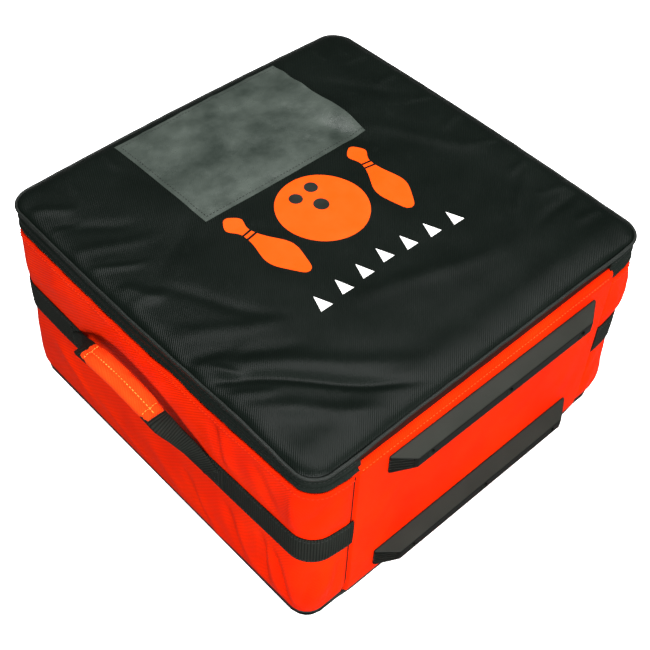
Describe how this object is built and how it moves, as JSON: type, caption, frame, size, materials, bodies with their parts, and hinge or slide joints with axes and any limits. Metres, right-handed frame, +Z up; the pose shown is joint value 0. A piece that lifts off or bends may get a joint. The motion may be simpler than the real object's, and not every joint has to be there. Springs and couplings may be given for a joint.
{
  "type": "bowling ball bag",
  "caption": "Square soft-sided bowling ball case with a zipped hinged lid, moulded skid rails on one side and padded carry handles.",
  "frame": {"origin": "middle of the bag's footprint, on the floor the base rests on", "axes": "+Z up, the rail panel and the lid's fabric hinge face -Y, the handles are on the -X and +X walls"},
  "size_m": [0.5426, 0.4984, 0.2549],
  "materials": {
    "orange_fabric": "coated woven nylon, satin",
    "black_fabric": "ballistic weave nylon, slight sheen",
    "piping": "fabric-covered cord, satin",
    "webbing": "ribbed polyester webbing, matte",
    "lining": "plain weave lining, matte",
    "foam": "closed-cell foam, matte",
    "board": "extruded polypropylene sheet",
    "moulded_rail": "moulded polyethylene, fine texture",
    "steel": "zinc-plated",
    "zip_tape": "woven zipper tape, matte",
    "zip_teeth": "nylon coil",
    "pull_cord": "moulded pull, satin",
    "clear_vinyl": "soft clear PVC, glossy, slightly wrinkled"
  },
  "bodies": {
    "bag": {"base_panel": "black_fabric", "base_piping": "piping", "base_board": "board", "base_foam": "foam", "base_lining": "lining", "side_wall": "orange_fabric", "wall_foam_left": "foam", "wall_foam_back": "foam", "wall_foam_right": "foam", "wall_board_left": "board", "wall_board_back": "board", "wall_board_right": "board", "wall_lining": "lining", "rail_panel": "orange_fabric", "rail_panel_foam": "foam", "rail_board": "board", "front_foam": "foam", "rail_upper": "moulded_rail", "rail_lower": "moulded_rail", "rail_screws": "steel", "rail_washers": "steel", "rail_nuts": "steel", "webbing_band": "webbing", "handle_anchors_left": "webbing", "handle_anchors_right": "webbing", "zipper_tape_lower": "zip_tape", "zipper_teeth_lower": "zip_teeth", "zipper_stops": "steel", "hinge_strip": "black_fabric", "divider_long": "lining", "divider_left": "lining", "divider_right": "lining", "ball_cup_front_left": "foam", "ball_cup_front_right": "foam", "ball_cup_back_left": "foam", "ball_cup_back_right": "foam"},
    "lid": {"lid_cover": "black_fabric", "lid_piping": "piping", "lid_gusset": "black_fabric", "lid_foam": "foam", "lid_board": "board", "lid_lining": "lining", "zipper_tape_upper": "zip_tape", "zipper_teeth_upper": "zip_teeth", "id_pocket_window": "clear_vinyl"},
    "handle_left": {"handle_left_loop": "webbing", "handle_left_core": "foam", "handle_left_wrap": "orange_fabric"},
    "handle_right": {"handle_right_loop": "webbing", "handle_right_core": "foam", "handle_right_wrap": "orange_fabric"},
    "slider_left": {"zipper_slider_left": "steel"},
    "slider_right": {"zipper_slider_right": "steel"},
    "pull_left": {"zipper_pull_left": "pull_cord"},
    "pull_right": {"zipper_pull_right": "pull_cord"}
  },
  "joints": [
    {"name": "lid_hinge", "type": "hinge", "parent": "bag", "child": "lid", "pos_m": [0, -0.236, 0.249], "axis": [1, 0, 0], "range_deg": [0, 180]},
    {"name": "handle_left_swing", "type": "hinge", "parent": "bag", "child": "handle_left", "pos_m": [-0.2414, 0, 0.128], "axis": [0, 1, 0], "range_deg": [-142, 6]},
    {"name": "handle_right_swing", "type": "hinge", "parent": "bag", "child": "handle_right", "pos_m": [0.2414, 0, 0.128], "axis": [0, -1, 0], "range_deg": [-142, 6]},
    {"name": "slider_left_travel", "type": "slide", "parent": "bag", "child": "slider_left", "axis": [-1, 0, 0], "range_m": [0, 0.165]},
    {"name": "slider_right_travel", "type": "slide", "parent": "bag", "child": "slider_right", "axis": [1, 0, 0], "range_m": [0, 0.165]},
    {"name": "pull_left_flip", "type": "hinge", "parent": "slider_left", "child": "pull_left", "pos_m": [-0.014, 0.2385, 0.2242], "axis": [1, 0, 0], "range_deg": [0, 165]},
    {"name": "pull_right_flip", "type": "hinge", "parent": "slider_right", "child": "pull_right", "pos_m": [0.014, 0.2385, 0.2242], "axis": [1, 0, 0], "range_deg": [0, 165]}
  ]
}
